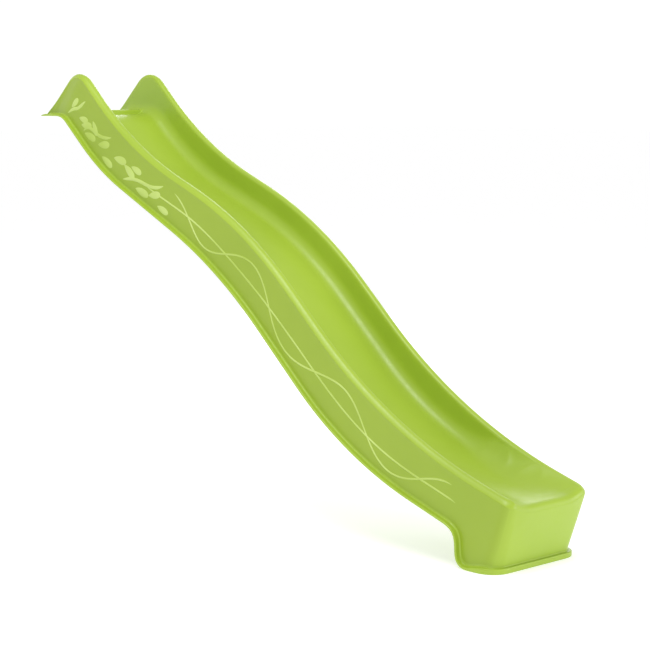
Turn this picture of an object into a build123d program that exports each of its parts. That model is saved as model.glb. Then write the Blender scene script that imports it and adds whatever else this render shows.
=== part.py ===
"""Garden slide for a 1.5 m platform: one open-bottomed polyethylene moulding and its fixings.

Frame: +X runs down the slide, +Z is up, Y runs across. The origin lies on the ground, 5 mm
behind the front edge of the foot's sole, and the plane Y = 0 is the slide's middle plane.
Millimetres. The moulding is one skin. It is written as zones that meet face to face, so that
each zone is a simple solid: entry plate, bed, run-out, apron, two walls and two foot sides.
"""

import os

from build123d import *

os.makedirs("parts", exist_ok=True)

# --- driving dimensions ---------------------------------------------------------------------
DECK_HEIGHT = 1500.0  # top of the platform that the entry lies on
SKIN = 5.0  # wall thickness of the moulding
PANEL_HALF = 208.0  # middle plane to the outer face of a side panel
CHANNEL_HALF = 168.0  # middle plane to the inner face of a side wall
BED_CORNER = 50.0  # radius between the bed and a side wall
RAIL_ROUND = 14.0  # rounding along both edges of a rail
BEAD_RADIUS = 13.0  # rounded bar across the top of the bed
RIM_OUT = 20.0  # how far the rim stands out from the panels
RIM_THICK = 9.0  # thickness of the rim along a side panel
RIM_ROUND = 3.0  # rounding of the rim's outer edges
SOLE_THICK = 20.0  # height of the thicker rim around the foot
SOLE_IN = 33.0  # how far the sole turns in behind the apron
SOLE_STEP = 12.0  # how far the sole stands out in front of the apron's foot
SOLE_CORNER = 60.0  # plan rounding of the sole's front corners
SOLE_ROUND = 8.0  # rounding of the sole's upper edge
SCREW_SPACING = 180.0  # between the two platform screws
ANCHOR_SPACING = 180.0  # between the two ground anchor holes
ANCHOR_HOLE_RADIUS = 5.0

# --- fixings ----------------------------------------------------------------------------------
SCREW_RADIUS = 4.0  # plain shank, above the platform
SCREW_THREAD_RADIUS = 3.6  # mean radius of the thread, which is left as a cylinder
SCREW_HOLE_RADIUS = 4.5
SCREW_GRIP = 55.0  # how far a screw reaches below the top of the platform
SCREW_HEAD_FLATS = 13.0
SCREW_HEAD_HEIGHT = 5.5
SCREW_HEAD_CHAMFER = 0.8
SCREW_POINT = 8.0  # length of the tapered point
SCREW_TIP_RADIUS = 0.6
WASHER_RADIUS = 12.0
WASHER_THICK = 1.6
CAP_BASE_RADIUS = 14.0
CAP_BASE_FLOOR = 1.5  # thickness of the dish under the washer
CAP_BASE_HEIGHT = 5.0
CAP_BASE_WALL = 1.5
CAP_RADIUS = 16.0
CAP_WALL = 1.8
CAP_HEIGHT = 16.0
CAP_CROWN = 5.0  # thickness of the cap above the screw's head
CAP_ROUND = 7.0

# --- stations along the slide ---------------------------------------------------------------
REAR = -2536.0  # rear end of the entry
ENTRY_END = -2330.0  # where the entry plate meets the bed
BEAD_X = -2350.0
SCREW_X = -2440.0
RUN_OUT = -300.0  # where the walls give way to the foot
LEG_REAR = -176.0  # rear edge of the foot
APRON_BOTTOM = -7.0  # front of the apron at the ground
APRON_TOP = 62.0  # front of the apron at the rail
APRON_SPLIT = 190.0  # height at which the apron gives way to the run-out
APRON_BAND = 12.0  # the apron's upright edges have their middles in a band this wide each way
BED_HALF = CHANNEL_HALF - BED_CORNER  # flat half of the bed
OPENING_DROP = 40.0  # how far the hollow reaches below the panels, so that it is open
CLEAR = 10.0  # how far a cutting outline or box reaches past the moulding

# --- side view: the corners of each line, and the radius at each corner ----------------------
PLATE_TOP = DECK_HEIGHT + SKIN
PEAK = 1709.0  # height of the corner that a rail's peak is rounded from, above everything
RAIL_FRONT = 250.0  # height of a rail at the front edge
BED_FRONT = 231.0  # height of the bed at the front edge
RAIL_CORNERS = [(-2318, PEAK), (-1965, 1385), (-1280, 1110), (-530, 432)]
RAIL_RADII = [100, 1607, 1818, 2143]
BED_CORNERS = [(-2259, PLATE_TOP), (-2025, 1290), (-1339, 1015), (-521, 276)]
BED_RADII = [150, 1350, 1708, 1395]
SKIRT_CORNERS = [(-715, 305), (-1412, 933), (-2143, 1281), (-2395, DECK_HEIGHT)]
SKIRT_RADII = [1620, 2090, 1120, 90]
LEG_CORNERS = [(LEG_REAR, 0), (LEG_REAR, 127)]
LEG_RADII = [42, 45]

SIDE_CORNERS = [(REAR, DECK_HEIGHT), *RAIL_CORNERS, (APRON_TOP, RAIL_FRONT), (APRON_BOTTOM, 0)]
SIDE_CORNERS += LEG_CORNERS + SKIRT_CORNERS
SIDE_RADII = [0, *RAIL_RADII, 0, 0, *LEG_RADII, *SKIRT_RADII]

APRON_LEAN = (APRON_TOP - APRON_BOTTOM) / RAIL_FRONT

SCREW_SEAT = PLATE_TOP + CAP_BASE_FLOOR + WASHER_THICK  # underside of a screw's head

# A line halfway down the side panels, which parts the rim from the rail.
PANEL_MIDDLE = [(-2385, 1515), (-2120, 1330), (-1412, 1010), (-715, 400), (-100, 150)]


def space_above_bed(drop):
    """Outline of the space above the bed line, with that line lowered by drop."""
    last_x, last_z = BED_CORNERS[-1]
    start = (REAR - CLEAR, PLATE_TOP - drop)
    beyond = (2 * APRON_TOP - last_x, 2 * BED_FRONT - last_z - drop)  # past the front edge
    lowered = [(x, z - drop) for x, z in BED_CORNERS]
    FilletPolyline(start, *lowered, beyond, radius=BED_RADII)
    Polyline(beyond, (beyond[0], PEAK), (start[0], PEAK), start)


def bed_corner_edges(solid, half):
    """Edges along which the bed line meets the side planes of a channel solid."""
    low = solid.edges().filter_by_position(Axis.Z, 0, DECK_HEIGHT + CLEAR)
    return low.filter_by(Axis.Y, reverse=True).filter_by(lambda edge: abs(edge.center().Y) > half - 1)


def rail_edges(solid):
    """The long edges along both rails, from the rear slope to the front edge."""
    tops = solid.faces().filter_by(lambda face: face.normal_at().Z > 0.2)
    tops = tops.filter_by(lambda face: abs(face.center().Y) > CHANNEL_HALF)
    slope = solid.faces().filter_by(lambda face: face.normal_at().X < -0.7).sort_by(Axis.Z)[-1]
    slope_edges = slope.edges().filter_by_position(Axis.Z, DECK_HEIGHT + CLEAR, PEAK)
    return (tops.edges() + slope_edges).filter_by(Axis.Y, reverse=True)


def front_edges(solid, low_x):
    """Edges across the front, from rail to rail, and the two upright corners of the apron."""
    across = solid.edges().filter_by_position(Axis.X, low_x, APRON_TOP)
    apron_middle = (low_x + APRON_BOTTOM) / 2
    band = (apron_middle - APRON_BAND, apron_middle + APRON_BAND)
    upright = solid.edges().filter_by_position(Axis.X, *band)
    return across + upright.filter_by(lambda edge: abs(edge.center().Y) > CHANNEL_HALF + 2 * SKIN)


# --- the space inside the skin ---------------------------------------------------------------
with BuildPart() as channel:  # what a child slides through
    with BuildSketch(Plane.XZ):
        with BuildLine():
            space_above_bed(0)
        make_face()
    extrude(amount=CHANNEL_HALF, both=True)
    fillet(bed_corner_edges(channel.part, CHANNEL_HALF), BED_CORNER)

with BuildPart() as channel_and_skin:
    with BuildSketch(Plane.XZ):
        with BuildLine():
            space_above_bed(SKIN)
        make_face()
    extrude(amount=CHANNEL_HALF + SKIN, both=True)
    fillet(bed_corner_edges(channel_and_skin.part, CHANNEL_HALF + SKIN), BED_CORNER + SKIN)

with BuildPart() as hollow:  # open to below, under the bed and inside both rails
    with BuildSketch(Plane.XZ) as hollow_side:
        with BuildLine():
            FilletPolyline(*SIDE_CORNERS, radius=SIDE_RADII, close=True)
        make_face()
        offset(amount=-SKIN, mode=Mode.REPLACE)
        add(hollow_side.sketch_local.moved(Location((-OPENING_DROP * APRON_LEAN, -OPENING_DROP, 0))))
    extrude(amount=PANEL_HALF - SKIN, both=True)
    add(channel_and_skin.part, mode=Mode.SUBTRACT)
    fillet(
        rail_edges(hollow.part) + front_edges(hollow.part, APRON_TOP - 4 * SKIN),
        RAIL_ROUND - SKIN,
    )

# --- the whole moulding ----------------------------------------------------------------------
with BuildPart() as rims:  # the rim along the lower edge of each side panel
    for side in (-1, 1):
        with BuildSketch(Plane.XZ.offset(-side * (PANEL_HALF - SKIN))):
            with BuildLine():
                FilletPolyline(*SIDE_CORNERS, radius=SIDE_RADII, close=True)
            make_face()
            offset(amount=-RIM_THICK, mode=Mode.SUBTRACT)
            rear, front = REAR - CLEAR, PANEL_MIDDLE[-1][0]
            with BuildLine():
                Polyline((rear, PANEL_MIDDLE[0][1]), *PANEL_MIDDLE, (front, -CLEAR))
                Polyline((front, -CLEAR), (rear, -CLEAR), (rear, PANEL_MIDDLE[0][1]))
            make_face(mode=Mode.INTERSECT)
        extrude(amount=-side * (SKIN + RIM_OUT))
    outer_faces = rims.faces().filter_by(Axis.Y).filter_by(
        lambda face: abs(face.center().Y) > PANEL_HALF + SKIN
    )
    fillet(outer_faces.edges(), RIM_ROUND)

with BuildPart() as sole:  # the thicker rim around the foot, which stands on the ground
    with BuildSketch():
        sole_front = APRON_BOTTOM + SOLE_STEP
        sole_rear = LEG_REAR + LEG_RADII[0]
        with Locations(((sole_front + sole_rear) / 2, 0)):
            Rectangle(sole_front - sole_rear, 2 * (PANEL_HALF + RIM_OUT))
    extrude(amount=SOLE_THICK)
    fillet(sole.edges().filter_by(Axis.Z).group_by(Axis.X)[-1], SOLE_CORNER)
    fillet(sole.faces().sort_by(Axis.Z)[-1].edges().sort_by(Axis.X)[1:], SOLE_ROUND)
    with BuildSketch():
        strip_rear = APRON_BOTTOM - SKIN - SOLE_IN
        with Locations(((strip_rear + sole_rear - CLEAR) / 2, 0)):
            Rectangle(strip_rear - sole_rear + CLEAR, 2 * (PANEL_HALF - SKIN))
    extrude(amount=SOLE_THICK, mode=Mode.SUBTRACT)
    with BuildSketch(Plane.XY.offset(SKIN)):  # inside the apron the sole is only a skin thick
        with Locations(((strip_rear + APRON_BOTTOM - SKIN) / 2, 0)):
            Rectangle(SOLE_IN, 2 * (PANEL_HALF - SKIN))
    extrude(amount=SOLE_THICK, mode=Mode.SUBTRACT)
    with Locations((strip_rear + SOLE_IN / 2, 0, SKIN)):
        with GridLocations(0, ANCHOR_SPACING, 1, 2):
            Hole(ANCHOR_HOLE_RADIUS, depth=SKIN)

with BuildPart() as bead:  # rounded bar across the top of the bed
    with BuildSketch(Plane.XZ):
        with Locations((BEAD_X, PLATE_TOP + BEAD_RADIUS - SKIN)):
            Circle(BEAD_RADIUS)
    extrude(amount=CHANNEL_HALF + SKIN / 2, both=True)

with BuildPart() as moulding:
    with BuildSketch(Plane.XZ):
        with BuildLine():
            FilletPolyline(*SIDE_CORNERS, radius=SIDE_RADII, close=True)
        make_face()
    extrude(amount=PANEL_HALF, both=True)
    add(channel.part, mode=Mode.SUBTRACT)
    fillet(rail_edges(moulding.part) + front_edges(moulding.part, APRON_TOP - SKIN), RAIL_ROUND)
    add(hollow.part, mode=Mode.SUBTRACT)
    add([rims.part, sole.part, bead.part])


def keep_zone(low, high):
    """Keep what lies between two corners of the part being built."""
    size = [top - bottom for bottom, top in zip(low, high)]
    middle = [(top + bottom) / 2 for bottom, top in zip(low, high)]
    with Locations(tuple(middle)):
        Box(*size, mode=Mode.INTERSECT)


def finish(part, name):
    """Label a finished piece and write its file."""
    part.label = name
    export_step(part, f"parts/{name}.step")


# --- the moulding's zones --------------------------------------------------------------------
FRONT_LIMIT = APRON_TOP + CLEAR
SIDE_LIMIT = PANEL_HALF + RIM_OUT + CLEAR

with BuildPart() as entry_plate:  # lies on the platform, between the walls
    add(moulding.part)
    keep_zone((REAR - CLEAR, -BED_HALF, DECK_HEIGHT - CLEAR), (ENTRY_END, BED_HALF, PEAK))
    with Locations((SCREW_X, 0, PLATE_TOP)):
        with GridLocations(0, SCREW_SPACING, 1, 2):
            Hole(SCREW_HOLE_RADIUS, depth=SKIN)
finish(entry_plate.part, "entry_plate")

with BuildPart() as slide_bed:  # the long curved floor
    add(moulding.part)
    keep_zone((ENTRY_END, -BED_HALF, 0), (RUN_OUT, BED_HALF, PEAK))
finish(slide_bed.part, "slide_bed")

with BuildPart() as run_out:  # the last stretch of the floor and the rolled front edge
    add(moulding.part)
    keep_zone((RUN_OUT, -BED_HALF, APRON_SPLIT), (FRONT_LIMIT, BED_HALF, PEAK))
finish(run_out.part, "run_out")

with BuildPart() as foot_apron:  # the leaning front of the foot, with its sole
    add(moulding.part)
    keep_zone((RUN_OUT, -BED_HALF, -CLEAR), (FRONT_LIMIT, BED_HALF, APRON_SPLIT))
finish(foot_apron.part, "foot_apron")

with BuildPart() as left_wall:  # rail, inner wall, side panel and rim, on the +Y side
    add(moulding.part)
    keep_zone((REAR - CLEAR, BED_HALF, 0), (RUN_OUT, SIDE_LIMIT, PEAK))
finish(left_wall.part, "left_wall")

with BuildPart() as right_wall:
    add(moulding.part)
    keep_zone((REAR - CLEAR, -SIDE_LIMIT, 0), (RUN_OUT, -BED_HALF, PEAK))
finish(right_wall.part, "right_wall")

with BuildPart() as left_foot:  # side of the foot, from the run-out's corner to the sole
    add(moulding.part)
    keep_zone((RUN_OUT, BED_HALF, -CLEAR), (FRONT_LIMIT, SIDE_LIMIT, PEAK))
finish(left_foot.part, "left_foot")

with BuildPart() as right_foot:
    add(moulding.part)
    keep_zone((RUN_OUT, -SIDE_LIMIT, -CLEAR), (FRONT_LIMIT, -BED_HALF, PEAK))
finish(right_foot.part, "right_foot")

# --- the fixings to the platform ---------------------------------------------------------------
with BuildPart() as screw_cap_bases:  # plastic dishes that the washers lie in
    with BuildSketch(Plane.XY.offset(PLATE_TOP)):
        with Locations((SCREW_X, 0)):
            with GridLocations(0, SCREW_SPACING, 1, 2):
                Circle(CAP_BASE_RADIUS)
                Circle(SCREW_HOLE_RADIUS, mode=Mode.SUBTRACT)
    extrude(amount=CAP_BASE_HEIGHT)
    with BuildSketch(Plane.XY.offset(PLATE_TOP + CAP_BASE_FLOOR)):
        with Locations((SCREW_X, 0)):
            with GridLocations(0, SCREW_SPACING, 1, 2):
                Circle(CAP_BASE_RADIUS - CAP_BASE_WALL)
    extrude(amount=CAP_BASE_HEIGHT, mode=Mode.SUBTRACT)
finish(screw_cap_bases.part, "screw_cap_bases")

with BuildPart() as screw_washers:
    with BuildSketch(Plane.XY.offset(PLATE_TOP + CAP_BASE_FLOOR)):
        with Locations((SCREW_X, 0)):
            with GridLocations(0, SCREW_SPACING, 1, 2):
                Circle(WASHER_RADIUS)
                Circle(SCREW_HOLE_RADIUS, mode=Mode.SUBTRACT)
    extrude(amount=WASHER_THICK)
finish(screw_washers.part, "screw_washers")

with BuildPart() as platform_screws:  # hexagon wood screws, driven down into the platform
    with BuildSketch(Plane.XY.offset(SCREW_SEAT)):
        with Locations((SCREW_X, 0)):
            with GridLocations(0, SCREW_SPACING, 1, 2):
                RegularPolygon(SCREW_HEAD_FLATS / 2, 6, major_radius=False)
    extrude(amount=SCREW_HEAD_HEIGHT)
    chamfer(platform_screws.faces().group_by(Axis.Z)[-1].edges(), SCREW_HEAD_CHAMFER)
    with BuildSketch(Plane.XY.offset(SCREW_SEAT)):
        with Locations((SCREW_X, 0)):
            with GridLocations(0, SCREW_SPACING, 1, 2):
                Circle(SCREW_RADIUS)
    extrude(amount=DECK_HEIGHT - SCREW_SEAT)
    with BuildSketch(Plane.XY.offset(DECK_HEIGHT)):
        with Locations((SCREW_X, 0)):
            with GridLocations(0, SCREW_SPACING, 1, 2):
                Circle(SCREW_THREAD_RADIUS)
    extrude(amount=-SCREW_GRIP)
    tip = platform_screws.faces().group_by(Axis.Z)[0].edges()
    chamfer(tip, SCREW_POINT, SCREW_THREAD_RADIUS - SCREW_TIP_RADIUS)
finish(platform_screws.part, "platform_screws")

with BuildPart() as screw_caps:  # snap-on domes over the screw heads
    with BuildSketch(Plane.XY.offset(PLATE_TOP)):
        with Locations((SCREW_X, 0)):
            with GridLocations(0, SCREW_SPACING, 1, 2):
                Circle(CAP_RADIUS)
    extrude(amount=CAP_HEIGHT)
    fillet(screw_caps.faces().group_by(Axis.Z)[-1].edges(), CAP_ROUND)
    with BuildSketch(Plane.XY.offset(PLATE_TOP)):
        with Locations((SCREW_X, 0)):
            with GridLocations(0, SCREW_SPACING, 1, 2):
                Circle(CAP_RADIUS - CAP_WALL)
    extrude(amount=CAP_HEIGHT - CAP_CROWN, mode=Mode.SUBTRACT)
finish(screw_caps.part, "screw_caps")
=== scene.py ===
"""Looks of the garden slide: one seamless polyethylene skin, and the finishes of its fixings.

The skin is a shell of quads, but for one face at the rear end of each rim. Its outside and its
inside are each four patches: a top patch (rail, wall, bed, wall, rail), a side patch under each
rail, and an apron patch across the front. Outside, the side and apron patches end in the rim,
which turns under and meets the inside.
Lengths are millimetres in the CAD frame, and turn into metres where vertices are made. The floor,
the lights and the camera are given in metres.
"""

from math import cos, pi, radians, sin, sqrt, tan

import bmesh
import bpy
import numpy as np
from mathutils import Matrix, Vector


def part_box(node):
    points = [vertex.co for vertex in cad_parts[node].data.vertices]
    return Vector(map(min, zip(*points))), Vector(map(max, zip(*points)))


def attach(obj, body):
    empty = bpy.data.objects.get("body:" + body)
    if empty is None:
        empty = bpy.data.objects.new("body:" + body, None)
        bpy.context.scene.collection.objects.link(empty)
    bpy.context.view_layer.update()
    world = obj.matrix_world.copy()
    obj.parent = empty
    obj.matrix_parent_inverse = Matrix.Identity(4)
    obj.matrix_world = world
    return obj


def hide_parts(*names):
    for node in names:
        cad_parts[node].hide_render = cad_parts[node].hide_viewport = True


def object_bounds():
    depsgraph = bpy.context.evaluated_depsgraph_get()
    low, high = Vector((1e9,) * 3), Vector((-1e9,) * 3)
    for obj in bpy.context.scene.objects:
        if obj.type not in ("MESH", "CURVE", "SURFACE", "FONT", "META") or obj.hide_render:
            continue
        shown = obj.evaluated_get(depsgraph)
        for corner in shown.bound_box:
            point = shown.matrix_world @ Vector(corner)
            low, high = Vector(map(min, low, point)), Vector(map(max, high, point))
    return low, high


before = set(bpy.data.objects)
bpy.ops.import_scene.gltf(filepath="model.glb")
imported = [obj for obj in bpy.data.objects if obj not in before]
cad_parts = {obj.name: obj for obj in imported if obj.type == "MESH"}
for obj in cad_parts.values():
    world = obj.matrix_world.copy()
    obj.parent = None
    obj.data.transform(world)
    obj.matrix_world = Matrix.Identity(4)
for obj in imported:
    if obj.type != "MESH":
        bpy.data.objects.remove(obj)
cad_low, cad_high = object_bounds()

MM = 0.001

# --- driving dimensions, as in the CAD model ---------------------------------------------------
DECK_HEIGHT = round(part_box("entry_plate")[0].z / MM)
SKIN = 5.0
PANEL_HALF = 208.0
CHANNEL_HALF = 168.0
RIM_OUT = 20.0
RIM_THICK = 9.0
SOLE_THICK = 20.0
SOLE_STEP = 12.0
REAR = round(cad_low.x / MM)
APRON_TOP = 62.0
APRON_BOTTOM = -7.0
PLATE_TOP = DECK_HEIGHT + SKIN
RAIL_FRONT = 250.0
BED_FRONT = 231.0
RAIL_CORNERS = [(-2318, 1709), (-1965, 1385), (-1280, 1110), (-530, 432)]
RAIL_RADII = [100, 1607, 1818, 2143]
BED_CORNERS = [(-2259, PLATE_TOP), (-2025, 1290), (-1339, 1015), (-521, 276)]
BED_RADII = [150, 1350, 1708, 1395]
SKIRT_CORNERS = [(-2395, DECK_HEIGHT), (-2143, 1281), (-1412, 933), (-715, 305)]
SKIRT_CORNERS += [(-176, 127), (-176, 0)]
SKIRT_RADII = [90, 1120, 2090, 1620, 45, 42]
BEAD_X = -2350.0
BEAD_RADIUS = 13.0
BEAD_RISE = 21.0  # top of the bead above the bed

# --- shape of the skin -------------------------------------------------------------------------
FIN_FOOT = 4.0  # height of a rail above the entry plate at its rear end
FRONT_ROLL = 22.0  # radius where the run-out rolls over into the apron
FRONT = 55.0  # furthest point of that roll
RAIL_ROUND = 14.0  # between a rail and the inner wall
BED_CORNER = 50.0  # between the inner wall and the bed
DISH_CORNER = 190.0  # the same at the front edge, where the run-out is a shallow dish
DISH_FROM = -640.0  # the corner grows into the dish from here
DISH_FULL = -20.0  # it is the full dish from here
DISH_POWER = 1.5  # above 1, it grows slowly at first
CREASE_SHARP = 0.8  # how sharp the crease along a rail stays, from 0 to 1
CREASE_DROP = 14.5  # rail to the crease at the top of a side panel
CREASE_FROM = REAR - 8  # that drop grows from here
CREASE_FULL = REAR + 90  # it is full from here
RECESS = 1.5  # how far a side panel lies behind that crease
RECESS_MARK = 9.0  # distance below the crease at which it is reached
RECESS_FADES = -200.0  # it fades out from here
RECESS_ENDS = -40.0  # it is gone from here
FILLET = 5.0  # between a side panel and the rim
CORNER_TOP = 35.0  # plan radius of the upright front corners, at the rail
CORNER_SOLE = 60.0  # plan radius of the same corners, at the sole
CORNER_POWER = 1.2  # above 1, it grows mostly near the sole
CORNER_SPREAD = 0.8  # growth of that radius for each millimetre that the rim stands out
LEAST_RADIUS = 1.0  # no corner is sharper than this
BEND_REACH = 260.0  # side points further behind the front corners than this stay as they are
BEND_SOFT = 120.0  # length behind those corners over which side points move out to the step
BEVEL_LEAN = 0.22  # inward lean of the rear strip of a side panel
BEVEL_MOST = 12.0  # most that the strip lies inside the panel's plane
BEVEL_TOP = (-2297.0, 1643.0)  # top of the line where that strip begins
BEVEL_FOOT = (-2397.0, 1518.0)  # foot of the same line


# --- paths in side view ------------------------------------------------------------------------
ARC_STEP = 6.0  # spacing of the points along an arc
ARC_LEAST = 12  # fewest points on an arc
TANGENT_REACH = 2.0  # a tangent is measured this far to both sides
BEHIND_REACH = 20.0  # how far behind its origin a ray may still hit a path


class Path:
    """Straight runs joined by tangent arcs, in the X-Z plane, followed by arc length."""

    def __init__(self, corners, radii):
        pts = [np.array(corners[0], float)]
        for before, corner, after, radius in zip(corners, corners[1:], corners[2:], radii):
            corner = np.array(corner, float)
            a = np.array(before, float) - corner
            b = np.array(after, float) - corner
            a, b = a / np.linalg.norm(a), b / np.linalg.norm(b)
            half = np.arccos(np.clip(a @ b, -1, 1)) / 2
            centre = corner + (a + b) / np.linalg.norm(a + b) * radius / sin(half)
            start = corner + a * radius / tan(half)
            arm = start - centre
            turn = (pi - 2 * half) * np.sign(a[0] * b[1] - a[1] * b[0]) * -1
            for t in np.linspace(0, 1, max(ARC_LEAST, int(abs(turn) * radius / ARC_STEP))):
                c, s = cos(turn * t), sin(turn * t)
                pts.append(centre + np.array([c * arm[0] - s * arm[1], s * arm[0] + c * arm[1]]))
        pts.append(np.array(corners[-1], float))
        self.points = np.array(pts)
        steps = np.linalg.norm(np.diff(self.points, axis=0), axis=1)
        keep = np.r_[True, steps > 1e-6]
        self.points = self.points[keep]
        self.at_length = np.r_[0, np.cumsum(steps[keep[1:]])]
        self.length = self.at_length[-1]

    def point(self, s):
        return np.array([np.interp(s, self.at_length, self.points[:, k]) for k in (0, 1)])

    def tangent(self, s):
        ahead = self.point(min(s + TANGENT_REACH, self.length))
        step = ahead - self.point(max(s - TANGENT_REACH, 0))
        return step / np.linalg.norm(step)

    def up(self, s):
        t = self.tangent(s)
        return np.array([-t[1], t[0]])

    def where_x(self, x):
        """Arc length at which a path that always runs forwards passes x."""
        return float(np.interp(x, self.points[:, 0], self.at_length))

    def crossing(self, origin, direction):
        """First point of the path on a ray: distance along the ray, arc length along the path."""
        side = np.array([-direction[1], direction[0]])
        d = (self.points - origin) @ side
        reach = (self.points - origin) @ direction
        hits = []
        for k in np.nonzero(d[:-1] * d[1:] <= 0)[0]:
            f = d[k] / (d[k] - d[k + 1]) if d[k] != d[k + 1] else 0
            r = reach[k] + f * (reach[k + 1] - reach[k])
            if r > -BEHIND_REACH:
                hits.append((r, self.at_length[k] + f * (self.at_length[k + 1] - self.at_length[k])))
        return min(hits)


rail_path = Path([(REAR, PLATE_TOP + FIN_FOOT), *RAIL_CORNERS, (APRON_TOP, RAIL_FRONT)], RAIL_RADII)
bed_path = Path([(REAR, PLATE_TOP), *BED_CORNERS, (APRON_TOP, BED_FRONT)], BED_RADII)
rim_path = Path([(REAR, DECK_HEIGHT), *SKIRT_CORNERS, (APRON_BOTTOM, 0)], SKIRT_RADII)


def smooth(value, low, high):
    """A share that rises from 0 at low to 1 at high, and is level at both ends."""
    t = np.clip((value - low) / (high - low), 0, 1)
    return t * t * (3 - 2 * t)


# --- stations along the slide --------------------------------------------------------------------
FRONT_INSETS = [120, 96, 74, 56, 42, 31, 22, 15, 9, 4, 0]  # stations near the front edge
STATION_STEP = 28.0
FAR = 1000.0  # stands for the front inset of every station on the bed
REAR_LENGTHS = [0, 3, 8]  # stations close behind the rear edge
PLATE_STATIONS = 11  # from the last of those to the first at the bead
BEAD_OFFSETS = (-34, -24, -17, -14, -12, -8, 0, 8, 12, 14, 17, 24)  # stations about the bead
PEAK_STEP = 8.0  # spacing of the stations from the bead to past the peak
PEAK_BEYOND = 60.0  # how far past the corner of the bed line those stations go


def bed_stations():
    """Arc lengths along the bed, closer together at the rear edge, the bead and the peak."""
    bead = bed_path.where_x(BEAD_X)
    around = [bead + offset for offset in BEAD_OFFSETS]
    plate = np.linspace(REAR_LENGTHS[-1], around[0], PLATE_STATIONS)
    found = REAR_LENGTHS + list(plate[1:-1]) + around
    peak_end = bed_path.where_x(BED_CORNERS[0][0] + PEAK_BEYOND)
    found += list(np.arange(around[-1] + PEAK_STEP, peak_end, PEAK_STEP))
    last = bed_path.where_x(FRONT - FRONT_INSETS[0] - STATION_STEP)
    count = int((last - found[-1]) / STATION_STEP)
    return found + list(np.linspace(found[-1], last, count + 1)[1:])


STATIONS = [(s, FAR) for s in bed_stations()]
STATIONS += [(bed_path.where_x(FRONT - w), w) for w in FRONT_INSETS]


# --- section across the slide --------------------------------------------------------------------
# rows across a rail: distance in from the panel's plane, share of the drop to the crease
RAIL_ROWS = [(0.0, 1.0), (4.5, 0.66), (11.0, 0.28), (17.0, 0.06), (24.0, 0.0)]
EDGE_THINNING = 0.4  # how much thinner the skin is at the crease, as a share
INNER_ROWS = 18
TURN_WEIGHT = 60.0  # millimetres of length that a radian of turning counts for
ROUND_SHARE = 0.42  # most of a shallow section's depth that the rail's rounding takes
CORNER_SHARE = 0.55  # most of it that the bed's corner takes, before the dish begins
LEAST_ROUND = 0.3  # least radius of that rounding on the inside
ROUND_POINTS = 8  # points along the rounding
BEND_POINTS = 14  # points along the corner
EDGE_TAPER = 12.0  # distance from the outer edge over which the inside draws in
SLIDE_TAPER = 60.0  # length over which an inside point slides back to its own place
CORNER_BLEND = 16.0  # half the distance over which the side's fall blends into the front's
BEAD_FADES = 40.0  # the bead fades out from this far before the wall
BEAD_ENDS = 4.0  # it is gone this far before the wall
HALF_ROWS = len(RAIL_ROWS) + INNER_ROWS


def inner_rows(depth, corner, inset):
    """Rows (y, height below the rail) of the wall and half the bed, spread by length and turning."""
    round_off = min(RAIL_ROUND, ROUND_SHARE * depth)
    corner = min(corner, CORNER_SHARE * depth) if corner <= BED_CORNER else corner
    end = np.arccos(max(0.0, 1 - depth / (corner + round_off)))
    wall = max(0.0, depth - corner - round_off)
    small, large = max(round_off - inset, LEAST_ROUND), corner + inset
    y0, h0 = CHANNEL_HALF + round_off, -round_off
    pts = [(PANEL_HALF - RAIL_ROWS[-1][0], -inset)]
    pts += [(y0 - small * sin(a), h0 + small * cos(a)) for a in np.linspace(0, end, ROUND_POINTS)]
    y1 = y0 - (round_off + corner) * sin(end)
    h1 = h0 + (round_off + corner) * cos(end) - wall
    pts += [(y1 + large * sin(a), h1 - large * cos(a)) for a in np.linspace(end, 0, BEND_POINTS)]
    pts.append((0.0, h1 - large))
    pts = np.array(pts)
    step = np.diff(pts, axis=0)
    heading = np.unwrap(np.arctan2(step[:, 1], step[:, 0]))
    turning = np.r_[0, np.abs(np.diff(heading))]
    measure = np.r_[0, np.cumsum(np.linalg.norm(step, axis=1) + TURN_WEIGHT * turning)]
    at = np.linspace(0, measure[-1], INNER_ROWS + 1)[1:]
    return [(np.interp(m, measure, pts[:, 0]), np.interp(m, measure, pts[:, 1])) for m in at]


def drawn_in(inset, from_edge):
    """How far the inside lies behind the outside, at a distance from the skin's outer edge."""
    return inset * max(0.0, 1 - from_edge / EDGE_TAPER)


def edge_fall(side_inset, front_inset, drop):
    """How far the skin has fallen below the rail or bed near the side and front edges."""
    inward = min(side_inset, front_inset)
    at_side = drop * np.interp(inward, *zip(*RAIL_ROWS))
    at_front = FRONT_ROLL - sqrt(FRONT_ROLL**2 - max(FRONT_ROLL - inward, 0.0) ** 2)
    share = smooth(side_inset - front_inset, -CORNER_BLEND, CORNER_BLEND)
    return at_side * (1 - share) + at_front * share


def round_corner(along, lateral, line_x, line_y, radius):
    """Plan position near a rounded upright corner, by distance along the sharp outline."""
    if along >= radius:
        return (line_x, line_y - along) if lateral else (line_x - along, line_y)
    angle = pi / 4 * (1 - along / radius)
    angle = pi / 2 - angle if lateral else angle
    return line_x - radius + radius * sin(angle), line_y - radius + radius * cos(angle)


def bead_height(x, y):
    """Height of the rounded bar across the top of the bed."""
    off = abs(x - BEAD_X)
    if off > BEAD_RADIUS:
        return 0.0
    full = BEAD_RISE - BEAD_RADIUS + sqrt(BEAD_RADIUS**2 - off**2)
    return full * (1 - smooth(y, CHANNEL_HALF - BEAD_FADES, CHANNEL_HALF - BEAD_ENDS))


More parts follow.
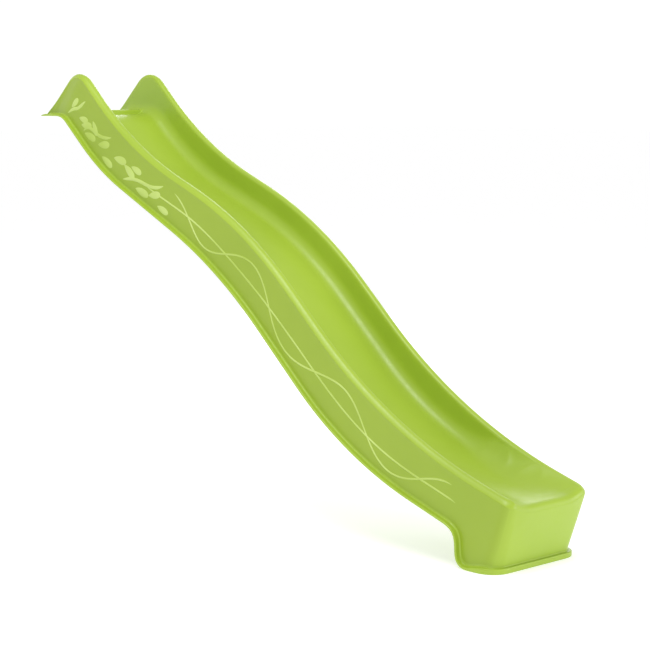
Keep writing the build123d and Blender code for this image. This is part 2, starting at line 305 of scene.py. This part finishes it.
def half_section(station, inset):
    """Points of half a section, from the crease on one side to the middle plane."""
    s, front_inset = STATIONS[station]
    base = bed_path.point(s)
    up = bed_path.up(s) if front_inset == FAR else np.array([0.0, 1.0])
    depth = rail_path.crossing(base, up)[0]
    dish = smooth(base[0], DISH_FROM, DISH_FULL) ** DISH_POWER
    corner = BED_CORNER + (DISH_CORNER - BED_CORNER) * dish
    drop = 1 + CREASE_DROP * smooth(base[0], CREASE_FROM, CREASE_FULL)
    rows = [(PANEL_HALF - w, -inset * (1 - EDGE_THINNING * share)) for w, share in RAIL_ROWS]
    points = []
    for y, height in rows + inner_rows(depth, corner, inset):
        side_inset = PANEL_HALF - y
        level = depth + height - edge_fall(side_inset, front_inset, drop)
        if not inset:
            level += bead_height(base[0], y)
        x, z = base + up * level
        inward = min(side_inset, front_inset)
        behind = drawn_in(inset, inward)
        lateral = front_inset < side_inset
        along = max(side_inset, front_inset) - inward
        if front_inset < FAR:
            radius = max(CORNER_TOP - inward - behind, LEAST_RADIUS)
            slide = behind * max(0.0, 1 - max(along - radius, 0.0) / SLIDE_TAPER)
            outline = (FRONT - inward - behind, PANEL_HALF - inward - behind)
            if along < radius:
                x, y = round_corner(along, lateral, *outline, radius)
            elif lateral:
                x, y = outline[0], PANEL_HALF - inward - along - slide
            else:
                x, y = FRONT - inward - along - slide, outline[1]
        else:
            y -= behind + bevel(x, z) * max(0.0, 1 - side_inset / RAIL_ROWS[-1][0])
        points.append((x, y, z))
    return points


# --- side panels and rim ---------------------------------------------------------------------------
PANEL_STEPS = 8
PANEL_SHARES = [k / PANEL_STEPS for k in range(1, PANEL_STEPS + 1)]
LEG_STATION_X = -400.0  # from here on, the stations share out the rim around the foot
NEAR_MARKS = [(3.0, 0.12), (9.0, 0.3)]  # rows close to the crease: millimetres, most share of the drop
RIM_MOST = 0.62  # most of a panel's height that the rim and its fillet take
RIM_GROWS = 60.0  # the rim is as thick as the sole from this far before its front end
INSIDE_FOOT = 0.6  # distance above the rim's underside at which the inside ends
# rows round the rim: share of its width, plus millimetres; share of its thickness, plus the same
RIM_ROWS = [
    (0, 1.5, 1, 1.5), (0, FILLET, 1, 0), (1, -6, 1, 0), (1, -2, 1, -0.3), (1, 0, 1, -2.5),
    (1, 0, 0.5, 0), (1, 0, 0, 2.2), (1, -1.8, 0, 0.1), (1, -7, 0, 0), (0, 0, 0, 0),
]


def rim_length(station, top, up):
    """Arc length along the rim that goes with a station."""
    if station == 0:
        return 0.0
    bed_x = [bed_path.point(s)[0] for s, _ in STATIONS]
    if bed_x[station] < LEG_STATION_X:
        return rim_path.crossing(top, -up)[1]
    before = next(k for k, x in enumerate(bed_x) if x >= LEG_STATION_X) - 1
    crease = np.array(crease_in_plane(before, 0))
    start = rim_path.crossing(crease, -bed_path.up(STATIONS[before][0]))[1]
    share = (FRONT - bed_x[station]) / (FRONT - bed_x[before])
    return rim_path.length - (rim_path.length - start) * share


def crease_in_plane(station, inset):
    """Where the crease would be in the X-Z plane if the front corners were sharp."""
    x, _, z = half_section(station, inset)[0]
    front_inset = STATIONS[station][1]
    return (FRONT - front_inset if front_inset < FAR else x), z


def bevel(x, z):
    """How far the rear strip of a side panel leans in from the panel's plane."""
    run = np.array(BEVEL_FOOT) - np.array(BEVEL_TOP)
    run = run / np.linalg.norm(run)
    behind = (x - BEVEL_TOP[0]) * run[1] - (z - BEVEL_TOP[1]) * run[0]
    return min(BEVEL_LEAN * max(behind, 0.0), BEVEL_MOST)


def recess(x):
    """How far a side panel lies behind its crease, which fades out towards the foot."""
    return RECESS * (1 - smooth(x, RECESS_FADES, RECESS_ENDS))


def corner_radius(share):
    """Plan radius of the upright front corners, by share of the way down to the sole."""
    return CORNER_TOP + (CORNER_SOLE - CORNER_TOP) * share**CORNER_POWER


def panel_marks(drop):
    """Distances below the crease of the rows of a panel: two close ones, then even steps."""
    near = [min(length, share * drop) for length, share in NEAR_MARKS]
    return near + [near[-1] + (drop - near[-1]) * share for share in PANEL_SHARES]


def on_side(x, z, share, y, step, radius):
    """A side point, bent round the upright front corner where it comes close to it."""
    line_x = FRONT + (APRON_BOTTOM - FRONT) * share
    along = max(line_x - x, 0.0)
    if along > BEND_REACH:
        return x, y, z
    moved = along + step * smooth(along, 0, BEND_SOFT)
    px, py = round_corner(moved, False, line_x + step, y, radius)
    return px, py, z


def side_column(station, inset):
    """Points down a side panel and round the rim, below the crease at a station."""
    s, front_inset = STATIONS[station]
    up = bed_path.up(s) if front_inset == FAR else np.array([0.0, 1.0])
    top = np.array(crease_in_plane(station, inset))
    at = rim_lengths[station]
    foot, inward = rim_path.point(at), rim_path.up(at)
    grown = smooth(at, leg_corner, rim_path.length - RIM_GROWS)
    thick = RIM_THICK + (SOLE_THICK - RIM_THICK) * grown
    scale = min(1.0, RIM_MOST * np.linalg.norm(top - foot) / (thick + FILLET))
    thick, fillet = thick * scale, FILLET * scale
    end = foot + inward * (thick + fillet)
    run = end - top
    drop = np.linalg.norm(run)
    points = []
    for mark in panel_marks(drop):
        share = mark / drop
        px, pz = top + run * share
        lean = recess(px) * smooth(mark, 0, RECESS_MARK) + bevel(px, pz)
        radius = max(corner_radius(share) - inset, LEAST_RADIUS)
        points.append(on_side(px, pz, share, PANEL_HALF - lean - inset, -inset, radius))
    lean = recess(end[0]) + bevel(*end)
    if inset:
        for level in (thick / 2, INSIDE_FOOT):
            px, pz = foot + inward * level
            radius = CORNER_SOLE - inset
            points.append(on_side(px, pz, 1.0, PANEL_HALF - lean - inset, -inset, radius))
        return points
    for out_share, out_more, up_share, up_more in RIM_ROWS:
        out = RIM_OUT * out_share + out_more * scale
        px, pz = foot + inward * (thick * up_share + up_more * scale)
        y = PANEL_HALF + out - (lean if out_share == 0 else 0)
        step = out * SOLE_STEP / RIM_OUT
        points.append(on_side(px, pz, 1.0, y, step, CORNER_SOLE + CORNER_SPREAD * out))
    return points


def apron_column(column, inset):
    """Points down the apron and round the rim, below a point of the front edge."""
    sideways, top_z = front_rows(inset)[column]
    drop = top_z - SOLE_THICK - FILLET
    levels = [(mark / drop, top_z - mark, -float(inset)) for mark in panel_marks(drop)]
    if inset:
        levels += [(1.0, level, -float(inset)) for level in (SOLE_THICK / 2, INSIDE_FOOT)]
    else:
        for out_share, out_more, up_share, up_more in RIM_ROWS:
            out = RIM_OUT * out_share + out_more
            levels.append((1.0, SOLE_THICK * up_share + up_more, out))
    points = []
    for share, z, out in levels:
        step = out * SOLE_STEP / RIM_OUT if out > 0 else out
        line_x = FRONT + (APRON_BOTTOM - FRONT) * share + step
        line_y = PANEL_HALF + out
        spread = CORNER_SPREAD * out if out > 0 else out
        radius = max(corner_radius(share) + spread, LEAST_RADIUS)
        x, y = round_corner(sideways * line_y / PANEL_HALF, True, line_x, line_y, radius)
        points.append((x, y, z))
    return points


def front_rows(inset):
    """For half the front edge: distance from the side along the sharp outline, and height."""
    last = len(STATIONS) - 1
    nominal = [w for w, _ in RAIL_ROWS]
    base = bed_path.point(STATIONS[last][0])
    depth = rail_path.crossing(base, np.array([0.0, 1.0]))[0]
    nominal += [PANEL_HALF - y for y, _ in inner_rows(depth, DISH_CORNER, inset)]
    return [(w, point[2]) for w, point in zip(nominal, half_section(last, inset))]


leg_corner = rim_path.where_x(SKIRT_CORNERS[-1][0] + SKIRT_RADII[-1])
rim_lengths = []
for station, (s, front_inset) in enumerate(STATIONS):
    station_up = bed_path.up(s) if front_inset == FAR else np.array([0.0, 1.0])
    rim_lengths.append(rim_length(station, np.array(crease_in_plane(station, 0)), station_up))


# --- the shell -------------------------------------------------------------------------------------
RELIEF_SLOT = 1  # material slots of the moulding: 0 is the plain plastic, this one the relief with its painted highlight
# the side panels' slot, whose plastic has a painted shade
PANEL_SLOT = 2


def shell_grid(mesh, inset):
    """Vertices of the outside or the inside, as four patches that share their borders."""
    def mirrored(point):
        return point[0], -point[1], point[2]

    def add(point):
        return mesh.verts.new([value * MM for value in point])

    top, left, right, apron = [], [], [], []
    for station in range(len(STATIONS)):
        half = half_section(station, inset)
        top.append([add(p) for p in half] + [add(mirrored(p)) for p in half[-2::-1]])
        side = side_column(station, inset)
        left.append([top[-1][0]] + [add(p) for p in side])
        right.append([top[-1][-1]] + [add(mirrored(p)) for p in side])
    columns = [apron_column(column, inset) for column in range(1, HALF_ROWS)]
    apron.append(left[-1])
    for k, column in enumerate(columns, start=1):
        apron.append([top[-1][k]] + [add(p) for p in column])
    for k, column in reversed(list(enumerate(columns[:-1], start=1))):
        apron.append([top[-1][-1 - k]] + [add(mirrored(p)) for p in column])
    apron.append(right[-1])
    return top, left, right, apron


def fill(mesh, patch, slot=0):
    """Quads between neighbouring rows of a patch."""
    for near, far in zip(patch, patch[1:]):
        for a, b, c, d in zip(near, near[1:], far[1:], far):
            mesh.faces.new((a, b, c, d)).material_index = slot


def lowest_row(left, right, apron):
    """The last points of the columns, round from the rear left to the rear right."""
    return [column[-1] for column in (*left, *apron[1:-1], *right[::-1])]


shell = bmesh.new()
outside = shell_grid(shell, 0.0)
inside = shell_grid(shell, SKIN)
panel_rows = 1 + len(NEAR_MARKS) + len(PANEL_SHARES)
for side in (outside[1], outside[2]):
    fill(shell, [column[:panel_rows] for column in side], PANEL_SLOT)
    fill(shell, [column[panel_rows - 1:] for column in side])
for patch in (outside[0], outside[3], *inside):
    fill(shell, patch)

# the bottom of the rim, between the last row outside and the last row inside
fill(shell, [lowest_row(*outside[1:]), lowest_row(*inside[1:])])

# the rear end
fill(shell, [outside[0][0], inside[0][0]])
for outer, inner in ((outside[1][0], inside[1][0]), (outside[2][0], inside[2][0])):
    fill(shell, [outer[:panel_rows], inner[:panel_rows]])
    shell.faces.new(outer[panel_rows - 1:] + inner[:panel_rows - 2:-1])
crease_layer = shell.edges.layers.float.new("crease_edge")
for side in (outside[1], outside[2]):
    for near, far in zip(side, side[1:]):
        shell.edges.get((near[0], far[0]))[crease_layer] = CREASE_SHARP
bmesh.ops.recalc_face_normals(shell, faces=shell.faces)
# the relief is laid on the left panel, from the second row below the crease down
panel_grid = np.array([[list(v.co) for v in column[2:panel_rows]] for column in outside[1]]) / MM


def add_mesh(name, mesh):
    """Make a smooth-shaded object from a bmesh that is in metres."""
    data = bpy.data.meshes.new(name)
    mesh.to_mesh(data)
    mesh.free()
    data.polygons.foreach_set("use_smooth", [True] * len(data.polygons))
    made = bpy.data.objects.new(name, data)
    bpy.context.scene.collection.objects.link(made)
    return made


def apply_modifiers(made):
    """Replace an object's mesh by what its modifiers make of it."""
    graph = bpy.context.evaluated_depsgraph_get()
    data = bpy.data.meshes.new_from_object(made.evaluated_get(graph))
    made.modifiers.clear()
    made.data = data


chute = add_mesh("chute_moulding", shell)
rounding = chute.modifiers.new("rounding", "SUBSURF")
rounding.levels = 1
rounding.render_levels = 1
apply_modifiers(chute)


# --- the sole's inner strip, with the two anchor holes -------------------------------------------
SOLE_IN = 33.0  # how far the sole turns in behind the apron
ANCHOR_Y = 90.0
ANCHOR_RADIUS = 5.0
HOLE_SIDES = 32
STRIP_LAP = 3.0  # how far the strip runs into the skin around it, so that they are one

strip_front = APRON_BOTTOM - SKIN + STRIP_LAP
strip_rear = APRON_BOTTOM - SKIN - SOLE_IN
strip_half = PANEL_HALF - SKIN - CORNER_SOLE / 2
anchor_x = APRON_BOTTOM - SKIN - SOLE_IN / 2


def anchor_ring():
    """Points round the edge of the left anchor hole."""
    angles = [pi / 2 + 2 * pi * k / HOLE_SIDES for k in range(HOLE_SIDES)]
    return [(anchor_x + ANCHOR_RADIUS * cos(a), ANCHOR_Y + ANCHOR_RADIUS * sin(a)) for a in angles]


def sole_strip():
    """A flat bar behind the apron: rings of faces from each hole out to the bar's edges."""
    mesh = bmesh.new()
    for side in (-1, 1):
        levels = []
        for z in (0.0, SKIN):
            hole, frame_ring = [], []
            for px, py in anchor_ring():
                away = np.array([px - anchor_x, py - ANCHOR_Y]) / ANCHOR_RADIUS
                reach_x = (strip_front if away[0] > 0 else strip_rear) - anchor_x
                reach_y = (strip_half if away[1] > 0 else 0.0) - ANCHOR_Y
                grow = min(abs(reach_x / away[0]) if abs(away[0]) > 1e-9 else 1e9,
                           abs(reach_y / away[1]) if abs(away[1]) > 1e-9 else 1e9)
                hole.append(mesh.verts.new((px * MM, side * py * MM, z * MM)))
                far = (anchor_x + away[0] * grow, side * (ANCHOR_Y + away[1] * grow))
                frame_ring.append(mesh.verts.new((far[0] * MM, far[1] * MM, z * MM)))
            levels.append((hole, frame_ring))
        (low_hole, low_ring), (high_hole, high_ring) = levels
        rings = [low_hole, low_ring, high_ring, high_hole, low_hole]
        for near, far in zip(rings, rings[1:]):
            for k in range(HOLE_SIDES):
                m = (k + 1) % HOLE_SIDES
                mesh.faces.new((near[k], near[m], far[m], far[k]))
    bmesh.ops.recalc_face_normals(mesh, faces=mesh.faces)
    return add_mesh("sole_strip", mesh)


def join_into(target, *others):
    """Add the meshes of other objects to the target's, and remove those objects."""
    merged = bmesh.new()
    for made in (target, *others):
        known = len(merged.faces)
        merged.from_mesh(made.data)
        merged.faces.ensure_lookup_table()
        if made.name == "relief":
            for face in merged.faces[known:]:
                face.material_index = RELIEF_SLOT
    merged.to_mesh(target.data)
    merged.free()
    for made in others:
        bpy.data.objects.remove(made)


# --- relief on the side panels ---------------------------------------------------------------------
# Raised lines and leaves in a plain ornamental pattern, the same on both sides. A place on a panel
# is an x along the slide and a share of the way down that panel.
RIDGE_HALF = 4.2  # half the width of a raised line
RIDGE_HIGH = 1.6  # its height
RIDGE_SUNK = 1.0  # how far the middle of its foot, or of a leaf's back, lies in the skin
# section of a raised line: share of its half width, share of its height
RIDGE_PROFILE = [(-1.0, 0.0), (-0.62, 0.42), (-0.3, 0.86), (0.0, 1.0)]
RIDGE_PROFILE += [(0.3, 0.86), (0.62, 0.42), (1.0, 0.0)]
RIDGE_TAPER = 60.0  # length over which a line fades out at each end
RIDGE_START = 4.0  # its height would only reach nothing this far beyond its end
RIDGE_TIP = 0.35  # share of its width that is left at an end
RELIEF_LAP = 0.25  # how far the edges of lines and leaves lie below the panel's face
STEM_SHARE = 0.56  # the long stem runs a little below the middle of the panel
STEM_SWAY = 0.03  # how far it sways to both sides, as a share of the panel
STEM_LENGTH = 700.0  # length of one sway
STEM_STEP = 12.0
WAVE_SHARE = 0.54  # middle of the second line
WAVE_SWING = 0.33  # how far that line swings to both sides
WAVE_LENGTH = 495.0  # length of one swing
WAVE_STEP = 8.0
WAVE_LATER = 150.0  # it begins this far after the stem
WAVE_SOONER = 20.0  # it ends this far before the stem
WAVE_TOP_X = -1195.0  # one of the places where that line is nearest to the rail
RELIEF_TOP = -1830.0  # where the stem begins
RELIEF_END = -170.0  # where the stem ends
HOOKS = [(-2387, -2232), (-2211, -2049), (-1945, -1728)]  # short bold strokes: x at both ends
HOOK_SHARES = (0.92, 0.2)  # shares at those ends
HOOK_BEND = 0.1  # how far a stroke bends off the straight, as a share of its fall
HOOK_POINTS = 24
HOOK_WIDER = 2.0  # its width, as a multiple of a line's
# leaves: x and share at the root, direction in degrees from the slide's run, length, width
LEAVES = [
    (-2352, 0.62, 58, 58, 30), (-2285, 0.72, 18, 62, 32), (-2246, 0.80, 40, 72, 36),
    (-2180, 0.86, 22, 80, 38), (-2160, 0.40, -26, 66, 34), (-2095, 0.72, 38, 78, 38),
    (-2060, 0.86, 4, 80, 38), (-2010, 0.60, 20, 84, 40), (-1955, 0.52, -10, 84, 40),
    (-1920, 0.42, 6, 70, 34), (-1870, 0.84, 6, 88, 40), (-1800, 0.76, 30, 76, 36),
    (-1745, 0.84, 2, 74, 34),
]
LEAF_HIGH = 1.5
LEAF_POINT = 0.6  # the higher, the narrower a leaf is at its root
LEAF_REACH = 10.0  # the slide's run is measured this far to both sides of a leaf
LEAF_RINGS = 5
LEAF_SIDES = 28

column_x = panel_grid[:, 0, 0]


def on_panel(x, share):
    """A point of the left panel, in millimetres."""
    row = np.clip(share, 0, 1) * (panel_grid.shape[1] - 1)
    below = int(min(row, panel_grid.shape[1] - 2))
    near = [np.interp(x, column_x, panel_grid[:, below, k]) for k in range(3)]
    far = [np.interp(x, column_x, panel_grid[:, below + 1, k]) for k in range(3)]
    return np.array(near) + (np.array(far) - np.array(near)) * (row - below)


def ridge(mesh, places, side, wide=1.0):
    """Sweep a rounded bar along places (x, share) on one panel."""
    pts = np.array([on_panel(*place) for place in places])
    steps = np.gradient(pts[:, [0, 2]], axis=0)
    steps /= np.linalg.norm(steps, axis=1)[:, None]
    along = np.r_[0, np.cumsum(np.linalg.norm(np.diff(pts, axis=0), axis=1))]
    rings = []
    for point, step, at in zip(pts, steps, along):
        fade = smooth(min(at, along[-1] - at), -RIDGE_START, min(RIDGE_TAPER, along[-1] / 3))
        half = RIDGE_HALF * wide * (RIDGE_TIP + (1 - RIDGE_TIP) * fade)
        ring = []
        for across, rise in [*RIDGE_PROFILE, (0.0, None)]:
            out = -RIDGE_SUNK if rise is None else RIDGE_HIGH * fade * rise - RELIEF_LAP
            px = point[0] - step[1] * half * across
            pz = point[2] + step[0] * half * across
            ring.append(mesh.verts.new((px * MM, side * (point[1] + out) * MM, pz * MM)))
        rings.append(ring)
    count = len(rings[0])
    for near, far in zip(rings, rings[1:]):
        for k in range(count):
            m = (k + 1) % count
            mesh.faces.new((near[k], near[m], far[m], far[k]))
    mesh.faces.new(rings[0])
    mesh.faces.new(rings[-1][::-1])


def leaf(mesh, x, share, turn, length, width, side):
    """A domed leaf, narrow at its root and closed behind, lying on one panel."""
    root = on_panel(x, share)
    fall = on_panel(x + LEAF_REACH, share) - on_panel(x - LEAF_REACH, share)
    heading = np.arctan2(fall[2], fall[0]) + radians(turn)
    run = np.array([cos(heading), sin(heading)])
    across = np.array([-run[1], run[0]])
    rings = []
    for level in range(LEAF_RINGS):
        shrink = cos(pi / 2 * level / LEAF_RINGS)
        rise = LEAF_HIGH * sin(pi / 2 * level / LEAF_RINGS) - RELIEF_LAP
        ring = []
        for k in range(LEAF_SIDES):
            a = 2 * pi * k / LEAF_SIDES
            u = length / 2 * (1 - cos(a) * shrink)
            narrowing = sin(a / 2 if a < pi else pi - a / 2) ** LEAF_POINT
            v = width / 2 * sin(a) * narrowing * shrink
            px, pz = root[[0, 2]] + run * u + across * v
            ring.append(mesh.verts.new((px * MM, side * (root[1] + rise) * MM, pz * MM)))
        rings.append(ring)
    cx, cz = root[[0, 2]] + run * length / 2
    crown_y = side * (root[1] + LEAF_HIGH - RELIEF_LAP)
    back_y = side * (root[1] - RIDGE_SUNK)
    crown = mesh.verts.new((cx * MM, crown_y * MM, cz * MM))
    back = mesh.verts.new((cx * MM, back_y * MM, cz * MM))
    for near, far in zip(rings, rings[1:]):
        for k in range(LEAF_SIDES):
            m = (k + 1) % LEAF_SIDES
            mesh.faces.new((near[k], near[m], far[m], far[k]))
    for k in range(LEAF_SIDES):
        m = (k + 1) % LEAF_SIDES
        mesh.faces.new((rings[-1][k], rings[-1][m], crown))
        mesh.faces.new((rings[0][m], rings[0][k], back))


def relief():
    """All raised lines and leaves, on both panels."""
    mesh = bmesh.new()
    stem = [(x, STEM_SHARE + STEM_SWAY * sin(2 * pi * x / STEM_LENGTH))
            for x in np.arange(RELIEF_TOP, RELIEF_END, STEM_STEP)]
    wave = [(x, WAVE_SHARE - WAVE_SWING * cos(2 * pi * (x - WAVE_TOP_X) / WAVE_LENGTH))
            for x in np.arange(RELIEF_TOP + WAVE_LATER, RELIEF_END - WAVE_SOONER, WAVE_STEP)]
    for side in (-1, 1):
        ridge(mesh, stem, side)
        ridge(mesh, wave, side)
        for start, end in HOOKS:
            first, last = HOOK_SHARES
            bend = []
            for t in np.linspace(0, 1, HOOK_POINTS):
                down = t + HOOK_BEND * sin(2 * pi * t)
                bend.append((start + (end - start) * t, first + (last - first) * down))
            ridge(mesh, bend, side, HOOK_WIDER)
        for values in LEAVES:
            leaf(mesh, *values, side)
    bmesh.ops.recalc_face_normals(mesh, faces=mesh.faces)
    return add_mesh("relief", mesh)


strip = sole_strip()
strip.data.polygons.foreach_set("use_smooth", [False] * len(strip.data.polygons))
join_into(chute, strip, relief())


# --- materials -------------------------------------------------------------------------------------
SIDEWAYS_FROM = 0.72  # the painted shade begins where the normal points this far sideways
SIDEWAYS_FULL = 0.97  # the painted shade is full from here


class Nodes:
    """Short names for building a node material."""

    def __init__(self, name):
        self.material = bpy.data.materials.new(name)
        self.material.use_nodes = True
        self.tree = self.material.node_tree
        self.shader = self.tree.nodes["Principled BSDF"]
        self.place = self.add("ShaderNodeTexCoord").outputs["Object"]

    def add(self, kind, **values):
        node = self.tree.nodes.new(kind)
        for key, value in values.items():
            node.inputs[key].default_value = value
        return node

    def link(self, source, target):
        self.tree.links.new(source, target)

    def noise(self, scale, detail=3.0):
        """Noise with about so many lumps to a metre."""
        texture = self.add("ShaderNodeTexNoise", Scale=scale, Detail=detail)
        self.link(self.place, texture.inputs["Vector"])
        return texture.outputs["Fac"]

    def span(self, source, low, high):
        """Map a value that mostly lies between 0.3 and 0.7 to low and high."""
        ramp = self.add("ShaderNodeMapRange")
        ramp.inputs["From Min"].default_value = 0.3
        ramp.inputs["From Max"].default_value = 0.7
        ramp.inputs["To Min"].default_value = low
        ramp.inputs["To Max"].default_value = high
        self.link(source, ramp.inputs["Value"])
        return ramp.outputs["Result"]

    def blend(self, source, first, second):
        """The first colour where the source is 0, the second where it is 1."""
        mix = self.add("ShaderNodeMix")
        mix.data_type = "RGBA"
        mix.inputs[6].default_value = (*first, 1)
        mix.inputs[7].default_value = (*second, 1)
        self.link(source, mix.inputs[0])
        return mix.outputs[2]

    def painted_side_shade(self, tone, shade):
        """Paint shade: multiply a tone by a darker colour where the surface looks sideways."""
        facing = self.add("ShaderNodeSeparateXYZ")
        self.link(self.place.node.outputs["Normal"], facing.inputs["Vector"])
        sideways = self.add("ShaderNodeMath")
        sideways.operation = "ABSOLUTE"
        self.link(facing.outputs["Y"], sideways.inputs[0])
        ramp = self.add("ShaderNodeMapRange")
        ramp.inputs["From Min"].default_value = SIDEWAYS_FROM
        ramp.inputs["From Max"].default_value = SIDEWAYS_FULL
        self.link(sideways.outputs["Value"], ramp.inputs["Value"])
        mix = self.add("ShaderNodeMix")
        mix.data_type = "RGBA"
        mix.blend_type = "MULTIPLY"
        mix.inputs[7].default_value = (*shade, 1)
        self.link(ramp.outputs["Result"], mix.inputs[0])
        self.link(tone, mix.inputs[6])
        return mix.outputs[2]

    def bump(self, source, distance, strength):
        """Raise the surface with the source, by a distance in metres."""
        node = self.add("ShaderNodeBump", Strength=strength, Distance=distance)
        self.link(source, node.inputs["Height"])
        self.link(node.outputs["Normal"], self.shader.inputs["Normal"])


POLYETHYLENE_IOR = 1.51
LIME = (0.372, 0.520, 0.042)
LIME_DEEP = (0.340, 0.486, 0.034)
# painted highlight: the pale green of the relief stands in for light caught on its raised lines
LIME_PAINTED_HIGHLIGHT = (0.600, 0.740, 0.220)
PANEL_PAINTED_SHADE = (0.83, 0.84, 0.50)  # painted shade: the side panels are drawn darker, as if in shade
CAP_GREEN = (0.27, 0.38, 0.035)
ZINC = (0.72, 0.73, 0.74)


def moulded_plastic(name, deep, bright, shade=None):
    """Satin polyethylene: slow drifts of tone, a faint orange-peel and an uneven gloss.

    A painted shade darkens faces that look sideways, and fades out round the corners.
    """
    n = Nodes(name)
    tone = n.blend(n.span(n.noise(3.0), 0.0, 1.0), deep, bright)
    # painted shade: with a shade given, faces that look sideways are drawn darker
    if shade:
        tone = n.painted_side_shade(tone, shade)
    n.link(tone, n.shader.inputs["Base Color"])
    n.link(n.span(n.noise(26.0, 4.0), 0.32, 0.42), n.shader.inputs["Roughness"])
    n.bump(n.noise(160.0, 2.0), 0.0001, 0.12)
    n.shader.inputs["IOR"].default_value = POLYETHYLENE_IOR
    return n.material


def cap_plastic():
    """Matt injection-moulded plastic with a fine grain."""
    n = Nodes("cap_plastic")
    deep = tuple(0.88 * value for value in CAP_GREEN)
    n.link(n.blend(n.span(n.noise(60.0), 0.0, 1.0), deep, CAP_GREEN), n.shader.inputs["Base Color"])
    n.link(n.span(n.noise(300.0), 0.42, 0.58), n.shader.inputs["Roughness"])
    n.bump(n.noise(1500.0), 0.0001, 0.4)
    return n.material


def zinc_steel():
    """Bright zinc plate: metallic, with fine spangle and uneven gloss."""
    n = Nodes("zinc_steel")
    dull = tuple(0.8 * value for value in ZINC)
    n.link(n.blend(n.span(n.noise(400.0), 0.0, 1.0), dull, ZINC), n.shader.inputs["Base Color"])
    n.shader.inputs["Metallic"].default_value = 1.0
    n.link(n.span(n.noise(700.0), 0.28, 0.45), n.shader.inputs["Roughness"])
    return n.material


def paint(made, material):
    """Give all of an object one material."""
    if made.data.materials:
        for k in range(len(made.data.materials)):
            made.data.materials[k] = material
    else:
        made.data.materials.append(material)


chute.data.materials.append(moulded_plastic("moulded_polyethylene", LIME_DEEP, LIME))
# the relief's plastic, painted paler as a painted highlight
chute.data.materials.append(moulded_plastic("raised_polyethylene_painted_highlight", LIME, LIME_PAINTED_HIGHLIGHT))
# the side panels' plastic, with a painted shade on faces that look sideways
chute.data.materials.append(moulded_plastic("panel_polyethylene_painted_shade", LIME_DEEP, LIME, PANEL_PAINTED_SHADE))
ZONES = ["entry_plate", "slide_bed", "run_out", "foot_apron", "left_wall", "right_wall"]
ZONES += ["left_foot", "right_foot"]
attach(chute, "root")
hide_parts(*ZONES)

caps, zinc = cap_plastic(), zinc_steel()
for node in ("screw_cap_bases", "screw_caps"):
    paint(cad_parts[node], caps)
for node in ("screw_washers", "platform_screws"):
    paint(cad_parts[node], zinc)


# --- floor, light and camera -----------------------------------------------------------------------
FLOOR_HALF = 60.0
FLOOR_GREY = 0.72
FLOOR_GLOW = 0.5  # keeps the floor white far from the lights
SKY_STRENGTH = 1.05
SKY_FADES = 0.18  # the sky darkens upwards from this Z of its direction
SKY_FADED = 0.6  # it is at its darkest from this Z up
SKY_HIGH = 0.55  # its share of brightness there
floor_mesh = bmesh.new()
bmesh.ops.create_grid(floor_mesh, x_segments=1, y_segments=1, size=FLOOR_HALF)
floor = add_mesh("floor", floor_mesh)
floor_nodes = Nodes("pale_floor")
floor_nodes.shader.inputs["Base Color"].default_value = (FLOOR_GREY, FLOOR_GREY, FLOOR_GREY, 1)
floor_nodes.shader.inputs["Roughness"].default_value = 0.9
floor_nodes.shader.inputs["Emission Color"].default_value = (1, 1, 1, 1)
floor_nodes.shader.inputs["Emission Strength"].default_value = FLOOR_GLOW
paint(floor, floor_nodes.material)

scene = bpy.context.scene
scene.world = bpy.data.worlds.new("studio")
scene.world.use_nodes = True
sky_tree = scene.world.node_tree
sky = sky_tree.nodes["Background"]
sky.inputs["Strength"].default_value = SKY_STRENGTH
sky_place = sky_tree.nodes.new("ShaderNodeTexCoord")
sky_parts = sky_tree.nodes.new("ShaderNodeSeparateXYZ")
sky_fade = sky_tree.nodes.new("ShaderNodeMapRange")
sky_fade.inputs["From Min"].default_value = SKY_FADES
sky_fade.inputs["From Max"].default_value = SKY_FADED
sky_fade.inputs["To Min"].default_value = 1.0
sky_fade.inputs["To Max"].default_value = SKY_HIGH
sky_tree.links.new(sky_place.outputs["Generated"], sky_parts.inputs["Vector"])
sky_tree.links.new(sky_parts.outputs["Z"], sky_fade.inputs["Value"])
sky_tree.links.new(sky_fade.outputs["Result"], sky.inputs["Color"])
scene.view_settings.view_transform = "Standard"


def area_light(name, location, aim, size, watts):
    """A round lamp that faces a point."""
    data = bpy.data.lights.new(name, "AREA")
    data.shape = "DISK"
    data.size = size
    data.energy = watts
    lamp = bpy.data.objects.new(name, data)
    lamp.location = location
    lamp.rotation_euler = (Vector(aim) - Vector(location)).to_track_quat("-Z", "Y").to_euler()
    scene.collection.objects.link(lamp)


SLIDE_MIDDLE = (-1.2, 0.0, 0.8)
FOOT_MIDDLE = (-0.2, 0.0, 0.2)
area_light("key", (0.2, -1.6, 6.0), SLIDE_MIDDLE, 3.2, 165)
area_light("front", (4.2, 2.8, 1.5), FOOT_MIDDLE, 2.0, 55)
area_light("rear", (-5.5, 4.5, 2.6), SLIDE_MIDDLE, 4.0, 110)

CAMERA_PLACE = (4.105, -4.884, 1.604)
CAMERA_AZIMUTH = 46.54  # degrees from the Y axis, towards -X
CAMERA_DOWN = 7.0  # degrees below level
CAMERA_LENS = 105.6  # millimetres
CAMERA_SENSOR = 36  # millimetres
camera_data = bpy.data.cameras.new("camera")
camera_data.lens = CAMERA_LENS
camera_data.sensor_width = CAMERA_SENSOR
camera = bpy.data.objects.new("camera", camera_data)
camera.location = CAMERA_PLACE
camera.rotation_euler = (radians(90 - CAMERA_DOWN), 0, radians(CAMERA_AZIMUTH))
scene.collection.objects.link(camera)
scene.camera = camera
